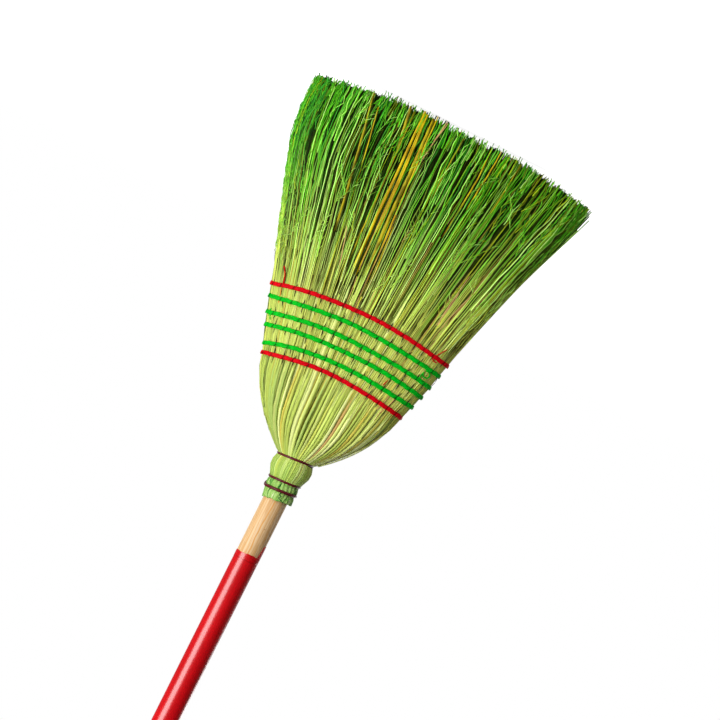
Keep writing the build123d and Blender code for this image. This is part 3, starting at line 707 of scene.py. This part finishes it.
points, outward = lay(x / reach(height, np.sign(x)), -1.0, 1.02 - 0.10 * (1 - share) ** 3, height)
rings = straws(points, outward, wide * (1 - 0.25 * share) * ease(share, -0.12, 0.12), 0.35, 6)
flat_straws = tube_mesh("gold_straws", rings, gold_straw, colour_map(height, 6, kind, lit))

# Painted shade: dark straws laid along both sides of the first twelve gold straws, in the deep-shade colour.
lined = 12
ways = np.tile((-1.0, 1.0), lined)[:, None]
beside = np.repeat(x[:lined], 2, axis=0) + ways * np.repeat(wide[:lined] + 0.7, 2, axis=0)
height = np.repeat(height[:lined], 2, axis=0)
points, outward = lay(beside / reach(height, np.sign(beside)), -1.0, 1.0, height)
dark = straws(points, outward, 0.75, 0.3, 3)
paint = colour_map(height, 3, rng.integers(0, kind_count, 2 * lined), deep_shade)
shadow_straws = tube_mesh("shadow_straws", dark, corn, paint)

# Neck wrap: corn leaf folded round the stalk butts and the stick, held under two turns of wire.
# Its free ends stand past the lower wire as a short skirt of overlapping lobes.
lobes = 9
leaf_green, shader, place = finish("leaf_green", Roughness=0.6, Specular_IOR_Level=0.25)
spot = place.node("UVMap", {"uv_map": "OFBake"})
pleats = spot.stretch(44.0, 3.0, 1.0).noise()
veins = spot.stretch(170.0, 6.0, 1.0, Rotation=(0, 0, 0.01)).noise()
leaf = veins.node("ValToRGB", {"stops": (
    (0.30, hue(110, 160, 60)), (0.46, hue(146, 194, 88)),
    (0.60, hue(172, 212, 116)), (0.76, hue(206, 230, 160)))}, {"Fac": veins})
# Dark green painted shade along the pleat folds.
leaf = pleats.rise(0.56, 0.66).choose(leaf, hue(66, 150, 44))
leaf = (1.0 - pleats.rise(0.30, 0.40)).choose(leaf, hue(214, 232, 170))
sway = spot.noise(9.0, 1.0)
lobe = (spot.axis(0) * lobes + sway * 0.7 + spot.axis(1) * 1.2).fraction()
# Painted shade: a dark line along each lobe's edge, where one lobe overlaps the next.
leaf = (1.0 - (0.5 - abs(lobe - 0.5)).rise(0.01, 0.07)).choose(leaf, hue(28, 96, 26))
leaf.feed(shader, "Base Color")
bumped(place, veins * 0.6 + pleats, 0.0005, shader)

wrap_start, wrap_end, wrap_radius, least_radius = 394, 415.4, 16.1, 13.0
turn = np.linspace(0, 2 * np.pi, 180, endpoint=False)
lobe = turn / (2 * np.pi) * lobes + 0.35 * np.sin(2 * turn + 0.6)
part = lobe % 1
end = wrap_end + 0.9 * np.sin(np.pi * part) ** 0.6 + 0.4 * np.sin(11 * turn) + 1.7 * np.cos(turn - 0.3)
rise = np.linspace(0, 1, 30)[:, None]
height = wrap_start + (end - wrap_start) * rise
pinch = bell(height, 396.6, 1.6) + 1.2 * bell(height, 405.8, 1.7)
free = np.clip((height - 407) / 8, 0, 1)
folds = 0.34 * np.sin(23 * turn + 1.5 * np.sin(height * 0.3)) * (1 - 0.7 * free) + 0.10 * np.sin(57 * turn)
skirt = free * (0.75 * part - 1.0 - 1.3 * np.cos(turn))
radius = wrap_radius + folds - 0.7 * pinch + 0.45 * bell(height, 401.3, 2.4) + skirt
outer = np.stack([radius * np.cos(turn), radius * np.sin(turn), height], axis=-1)
under = np.maximum(radius - 0.6 - 2.2 * (1 - rise), least_radius)
inner = np.stack([under[::-1] * np.cos(turn), under[::-1] * np.sin(turn), height[::-1] - 0.15], axis=-1)
wrap = np.concatenate([outer, inner])
round_map = np.append(lobe, lobe[0] + lobes) / 9.6 + 0.02
paint = np.stack(np.broadcast_arrays(round_map, np.linspace(0, 1, len(wrap) + 1)[:, None]), axis=-1)
leaf_wrap = tube_mesh("leaf_wrap", wrap[None, :, ::-1], leaf_green, paint[None, :, ::-1], True)
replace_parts(leaf_wrap, "neck_wrap")

# Bindings: single turns of lacquered steel wire, pulled tight round the neck and nailed at the back.
# The anchor wire under the corn and the nails at the back stay as model.glb has them.
wire_lacquer, shader, place = finish("wire_lacquer", Specular_IOR_Level=0.3)
specks = place.noise(1300.0, 3.0)
specks.rise(0.35, 0.75).choose(hue(104, 22, 32), hue(72, 8, 16)).feed(shader, "Base Color")
(specks * 0.25 + 0.22).feed(shader, "Roughness")
bumped(place, specks, 0.0001, shader)


def wire_ring(name, radius, height, tilt, climb, thickness):
    """One turn of round wire on the neck, starting and ending at the back.

    It is a circle tilted across X. Its last part steps along the neck by the climb, bulging out by a smooth
    step up and down where it passes the first.
    """
    turn = np.linspace(0.52 * np.pi, 2.48 * np.pi, 97)
    z = height + tilt * radius * np.cos(turn) + climb * ease(turn, 1.9 * np.pi, 2.3 * np.pi)
    radius = radius + 0.6 * ease(turn, 1.9 * np.pi, 2.1 * np.pi) * ease(-turn, -2.48 * np.pi, -2.3 * np.pi)
    points = np.stack([radius * np.cos(turn), radius * np.sin(turn), z], axis=-1)[None]
    outward = np.stack([np.cos(turn), np.sin(turn), 0 * turn], axis=-1)[None]
    ring = tube_mesh(name, straws(points, outward, thickness / 2, thickness / 2, 10), wire_lacquer)
    return ring


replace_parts(wire_ring("throat_wire", 18.6, 370.45, 0.09, -1.8, 2.6), "throat_binding")
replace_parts(wire_ring("upper_wire", 16.1, 395.3, 0.065, -1.4, 2.7), "upper_neck_binding")
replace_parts(wire_ring("lower_wire", 16.2, 405.2, 0.07, -5.5, 3.2), "lower_neck_binding")
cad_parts["anchor_wire"].material_slots[0].material = wire_lacquer

nail_steel, shader, place = finish("nail_steel", Metallic=0.9)
scuff = place.noise(1800.0, 3.0)
scuff.rise(0.3, 0.7).choose(hue(150, 148, 142), hue(108, 104, 98)).feed(shader, "Base Color")
(scuff * 0.3 + 0.25).feed(shader, "Roughness")
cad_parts["binding_nails"].material_slots[0].material = nail_steel

# Sewn rows: stiff twine sewn through the head and laid round it, nipped at every stitch.
# Red rows close the belt at both ends, with four green rows between them.
mapped_stitches = 48


def twine_finish(name, bright, deep):
    """Flat waxed twine: fine yarns along a map of length and girth, and painted shade at the nip of every
    stitch.
    """
    material, shader, place = finish(name, Specular_IOR_Level=0.06)
    spot = place.node("UVMap", {"uv_map": "OFBake"})
    girth = spot.axis(1)
    count = spot.axis(0) * mapped_stitches + girth * 0.28 - 0.14
    luck = count.chance()
    nip = abs(count.fraction() - 0.5 + (luck - 0.5) * 0.24)
    edge = 1.0 - girth.rise(0.05, 0.42)
    yarn = spot.stretch(160.0, 26.0, 1.0, Rotation=(0, 0, 0.4)).noise()
    blotch = spot.noise(90.0)
    colour = (yarn * 0.5 + blotch * 0.8).rise(0.50, 0.78).choose(deep, bright)
    # Painted shade: the twine darkens to 0.16 of its deep colour where each stitch dips into the straw.
    nip_shade = (1.0 - nip.rise(0.01, edge * 0.08 + 0.05)) * (luck * 0.35 + 0.6)
    nip_shade.choose(colour, (*(0.16 * part for part in deep[:3]), 1.0)).feed(shader, "Base Color")
    (yarn * 0.3 + 0.34).feed(shader, "Roughness")
    bumped(place, yarn, 0.0004, shader)
    return material


red_twine = twine_finish("red_twine", hue(244, 0, 24), hue(178, 0, 10))
green_twine = twine_finish("green_twine", hue(0, 226, 40), hue(0, 138, 14))

rows = (
    ("red_stitch_row_shoulder", red_twine), ("green_stitch_row_a", green_twine),
    ("green_stitch_row_b", green_twine), ("green_stitch_row_c", green_twine),
    ("green_stitch_row_d", green_twine), ("red_stitch_row_tips", red_twine))
sides = 12
turn = 2 * np.pi * np.arange(sides) / sides
flat = np.sign(np.cos(turn)) * np.abs(np.cos(turn)) ** 0.7
crown = np.sign(np.sin(turn)) * np.abs(np.sin(turn)) ** 0.8
for number, (name, twine) in enumerate(rows):
    points, outward, stitch = sewn_line(number)
    part = stitch % 1
    nip = bell(part, 0.5, 0.06)
    upward = np.cross(outward, unit(np.gradient(points, axis=0)))
    points = points + outward * (0.75 - 0.35 * nip)[:, None]
    points[:, 2] += 0.5 * (part - 0.5) * (1 - nip) + 0.3 * np.sin(stitch * 0.76 + number)
    wide = (2.25 - 0.25 * nip)[:, None, None] * flat[:, None] * upward[:, None]
    high = (0.85 - 0.2 * nip)[:, None, None] * crown[:, None] * outward[:, None]
    rings = (points[:, None] + wide + high)[None]
    length = (stitch / mapped_stitches)[:, None]
    paint = np.stack(np.broadcast_arrays(length, np.linspace(0, 1, sides + 1)), axis=-1)[None]
    sewn = tube_mesh(name.replace("stitch", "twine"), rings, twine, paint)
    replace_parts(sewn, name)
    "red_twine" if "red" in name else "green_twine"

# Needle slits: where a stitch goes through, the straw parts for a few millimetres above and below the twine.
# Each gap between two bunches is painted shade: a dark lens-shaped strip laid on the face.
slit_shade, shader, place = finish("slit_shade", Roughness=0.9)
shadow = place.noise(300.0)
shadow.rise(0.35, 0.65).choose(hue(30, 20, 4), hue(66, 48, 16)).feed(shader, "Base Color")
rng = np.random.default_rng(40)
nips = np.concatenate([stitches(number) for number in range(len(rows))])
nips = np.repeat(nips, 2, axis=0)[rng.random(2 * len(nips)) < 0.85]
way = np.where(np.arange(len(nips)) % 2 == 0, 1.0, -1.0)[:, None]
share = np.broadcast_to(np.linspace(0, 1, 6), (len(nips), 6))
height = nips[:, 2:] + way * (1.2 + rng.uniform(3.5, 8.0, way.shape) * share)
place = nips[:, :1] / reach(nips[:, 2:], np.sign(nips[:, :1])) + rng.normal(0, 0.006, way.shape) * share
points, outward = lay(place, np.sign(nips[:, 1:2]), 1.034, height)
width = rng.uniform(0.35, 0.75, way.shape) * (1 - share**2) + 0.05
needle_slit_shadows = tube_mesh("needle_slit_shadows", straws(points, outward, width, 0.3, 3), slit_shade)

# Loose ends: short tails, a loop and cut snippets of the twine left by the sewing on the front face.
# They are thinner than the laid twine, because here it is not pressed flat.


def on_front(x, height, lift):
    """Points a little above the front face at a distance from the middle and a height."""
    points, _ = lay(x / reach(height, np.sign(x)), -1.0, 1 + lift / half_depth(height), height)
    return points


def tail(start, bend, end, lift):
    """Parabola over the front face from start to end, drawn towards bend and lifted by a half sine."""
    share = np.linspace(0, 1, 13)
    corners = zip(start, bend, end)
    x, height = ((1 - share) ** 2 * a + 2 * share * (1 - share) * b + share**2 * c for a, b, c in corners)
    return on_front(x, height, lift + 0.6 * np.sin(np.pi * share))


share = np.linspace(0, 1, 13)
loop_angle = 5.6 * share - 0.4
loop = on_front(-78.7 + 3.5 * np.cos(loop_angle), 236.6 + 3.5 * np.sin(loop_angle), 1.6)
red_ends = (
    tail((89.3, 219.4), (91.0, 209.5), (96.6, 203.1), 1.2),
    tail((-79.3, 215.0), (-82.0, 211.0), (-85.9, 205.2), 1.2),
    tail((-76.5, 219.2), (-79.0, 222.5), (-82.5, 221.3), 1.2),
    tail((-44.3, 264.6), (-45.8, 262.5), (-46.5, 259.1), 1.2))
green_ends = (
    loop,
    tail((88.4, 254.0), (89.6, 251.0), (89.2, 246.2), 1.9),
    tail((88.4, 251.0), (87.0, 253.5), (85.4, 257.0), 1.9),
    tail((-75.3, 236.0), (-73.0, 240.5), (-74.8, 246.0), 1.4))
for name, twine, size, paths in (
        ("red_loose_ends", red_twine, 0.75, red_ends), ("green_loose_ends", green_twine, 0.8, green_ends)):
    points = np.stack(paths)
    width = size * np.where(np.arange(len(paths)) > 0, 0.75, 1.0)[:, None] + 0 * share
    length = (0.02 + 0.4 * share)[None, :, None] / mapped_stitches + 0 * width[..., None]
    paint = np.stack(np.broadcast_arrays(length, np.linspace(0, 1, 7)), axis=-1)
    loose = tube_mesh(name, straws(points, facing_front, width, width, 6), twine, paint)
    "red_twine" if "red" in name else "green_twine"

# Stage: a white floor and a white surround, a broad soft lamp in front on the left and a weaker one behind.
# The camera looks square at the front of the head, rolled so that the broom lies bristles up.
paper = bpy.data.materials.new("paper")
paper.use_nodes = True
sheet = Tone(paper.node_tree)
ray = sheet.node("LightPath", output="Is Camera Ray")
place = sheet.node("TexCoord", output="Object")
mirrored = ray.other("Is Glossy Ray") * place.axis(1).rise(1.0, 2.0)
seen = ray.reckon("MINIMUM", ray + mirrored + ray.other("Is Transmission Ray"), 1.0)
far = place.node("VectorMath", {"operation": "LENGTH"}, {0: place}, "Value").rise(0.25, 1.6)
matt = sheet.node("BsdfDiffuse", None, {"Color": hue(236, 236, 236)})
glow = sheet.node("Emission", None, {"Color": (1.0, 1.0, 1.0, 1.0), "Strength": seen * (far * 0.09 + 0.91)})
both = sheet.node("AddShader", None, {0: matt, 1: glow})
both.feed(paper.node_tree.nodes["Material Output"], "Surface")
mesh = bpy.data.meshes.new("floor")
mesh.from_pydata([(-9, -9, 0), (9, -9, 0), (9, 9, 0), (-9, 9, 0)], [], [(0, 1, 2, 3)])
mesh.materials.append(paper)
floor = bpy.data.objects.new("floor", mesh)
bpy.context.scene.collection.objects.link(floor)

world = bpy.data.worlds.new("surround")
bpy.context.scene.world = world
world.use_nodes = True
sky = Tone(world.node_tree)
ray = sky.node("LightPath", output="Is Camera Ray")
way = sky.node("TexCoord", output="Generated")
behind = way.axis(1)
glossy = ray.other("Is Glossy Ray")
shine = glossy * (behind.rise(0.85, 0.98) * 0.82 + behind.rise(-0.1, 0.4) * 0.10 + 0.005)
clear = ray.reckon("MINIMUM", ray + ray.other("Is Transmission Ray"), 1.0)
fill = (1.0 - ray.reckon("MAXIMUM", clear, glossy)) * (way.axis(0).rise(-0.8, 0.5) * 0.25 + 0.04)
level = ray.reckon("MAXIMUM", clear, shine) + fill
background = world.node_tree.nodes["Background"]
background.inputs["Color"].default_value = (1.0, 1.0, 1.0, 1.0)
level.feed(background, "Strength")


def stood(name, data, right, up, away, where):
    """Puts a lamp or a camera at a place, with its own axes along three directions."""
    stand = bpy.data.objects.new(name, data)
    bpy.context.scene.collection.objects.link(stand)
    grid = np.eye(4)
    grid[:3] = np.stack([right, up, away, where], axis=-1)
    stand.matrix_world = grid.T.tolist()
    return stand


def lamp(name, where, target, size, watts):
    """Square area lamp that faces a point."""
    light = bpy.data.lights.new(name, "AREA")
    light.size = size
    light.energy = watts
    away = unit(np.array(where) - np.array(target))
    right = unit(np.cross((0, 0, 1.0), away))
    stood(name, light, right, np.cross(away, right), away, where)


lamp("key_lamp", (1.38, -1.46, 0.85), (0, 0, 0.35), 1.5, 43.0)
lamp("back_lamp", (-1.6, 2.4, 1.6), (0, 0, 0.4), 1.5, 30.0)

camera = bpy.data.cameras.new("camera")
camera.sensor_width = 36.0
camera.lens = 175.0
right, up = (-0.89443, 0, -0.44721), (0.44721, 0, -0.89443)
bpy.context.scene.camera = stood("camera", camera, right, up, (0, -1, 0), (-0.013, -3.5, 0.253))
bpy.context.scene.view_settings.view_transform = "Standard"
